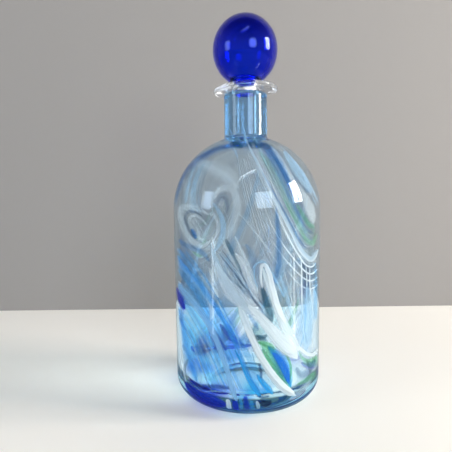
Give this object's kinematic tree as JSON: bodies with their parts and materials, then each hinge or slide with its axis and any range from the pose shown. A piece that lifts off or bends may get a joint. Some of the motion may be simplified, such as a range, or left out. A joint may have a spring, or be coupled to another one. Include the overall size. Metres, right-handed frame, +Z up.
{
  "type": "decorative glass bottle",
  "caption": "Round-shouldered blown glass bottle with inlaid swirls of coloured glass, a clear applied lip and a lift-off hollow blue ball stopper.",
  "frame": {"origin": "middle of the face that the bottle stands on", "axes": "+Z up along the bottle's axis, -Y towards the front that the broad white trail crosses"},
  "size_m": [0.09, 0.09, 0.2301],
  "materials": {
    "vessel_glass": "clear pale blue blown glass, fire polished",
    "lip_glass": "clear colourless glass, fire polished",
    "stopper_glass": "deep cobalt blue glass, fire polished",
    "white_trail_glass": "milky white glass rolled into the wall",
    "pale_trail_glass": "pale blue veiled glass rolled into the wall",
    "azure_trail_glass": "azure blue glass rolled into the wall",
    "cobalt_trail_glass": "cobalt blue glass rolled into the wall",
    "green_trail_glass": "leaf green glass rolled into the wall"
  },
  "bodies": {
    "bottle": {"vessel": "vessel_glass", "lip_disc": "lip_glass", "white_trail_broad": "white_trail_glass", "white_trail_fork": "white_trail_glass", "white_trail_arch": "white_trail_glass", "white_trail_upper": "white_trail_glass", "white_trail_leaf": "white_trail_glass", "white_trail_shoulder": "white_trail_glass", "white_trail_back": "white_trail_glass", "white_trail_back_low": "white_trail_glass", "pale_trail_veil": "pale_trail_glass", "pale_trail_left": "pale_trail_glass", "pale_trail_shoulder": "pale_trail_glass", "azure_trail_left": "azure_trail_glass", "azure_trail_side": "azure_trail_glass", "azure_trail_shoulder": "azure_trail_glass", "azure_trail_back": "azure_trail_glass", "cobalt_trail_heel": "cobalt_trail_glass", "cobalt_trail_back_heel": "cobalt_trail_glass", "green_trail_drop": "green_trail_glass", "green_trail_right": "green_trail_glass", "green_trail_back": "green_trail_glass"},
    "stopper": {"stopper_ball": "stopper_glass", "stopper_plug": "stopper_glass"}
  },
  "joints": [
    {"name": "stopper_lift", "type": "slide", "parent": "bottle", "child": "stopper", "axis": [0, 0, 1], "range_m": [0, 0.04]}
  ]
}
